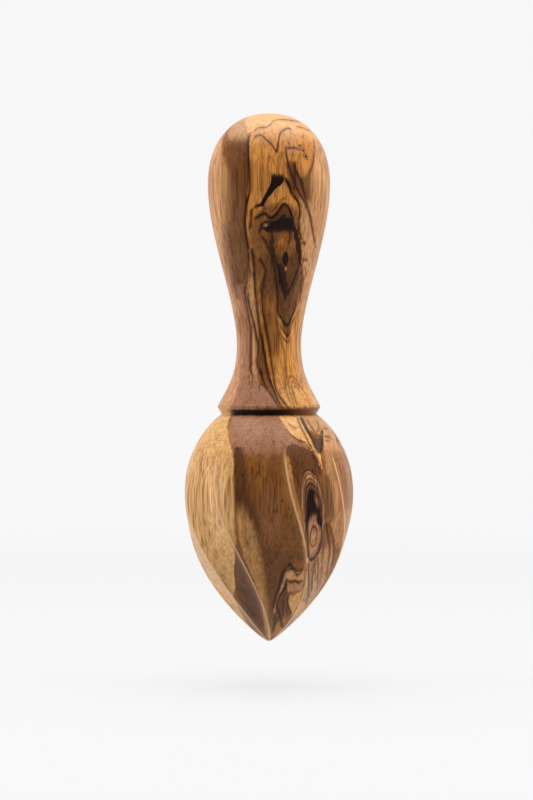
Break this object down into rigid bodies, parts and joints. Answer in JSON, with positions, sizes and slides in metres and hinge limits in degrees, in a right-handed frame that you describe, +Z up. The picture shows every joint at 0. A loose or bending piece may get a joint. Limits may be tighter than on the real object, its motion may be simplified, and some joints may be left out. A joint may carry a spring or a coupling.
{
  "type": "citrus reamer",
  "caption": "Hand citrus reamer turned from one piece of olive wood: domed knob handle, waisted neck, grooved collar and a pointed head carved with twisted flutes.",
  "frame": {"origin": "the point of the fluted head, on the long axis, which is the lowest point as the tool is held in use", "axes": "+Z runs up the long axis from the point to the crown of the knob; -Y faces the front view; +X is to the right in that view"},
  "size_m": [0.0478, 0.0478, 0.15],
  "materials": {
    "olive_wood": "satin, oiled olive wood with dark veins and knots"
  },
  "bodies": {
    "root": {"reamer_body": "olive_wood"}
  },
  "joints": []
}
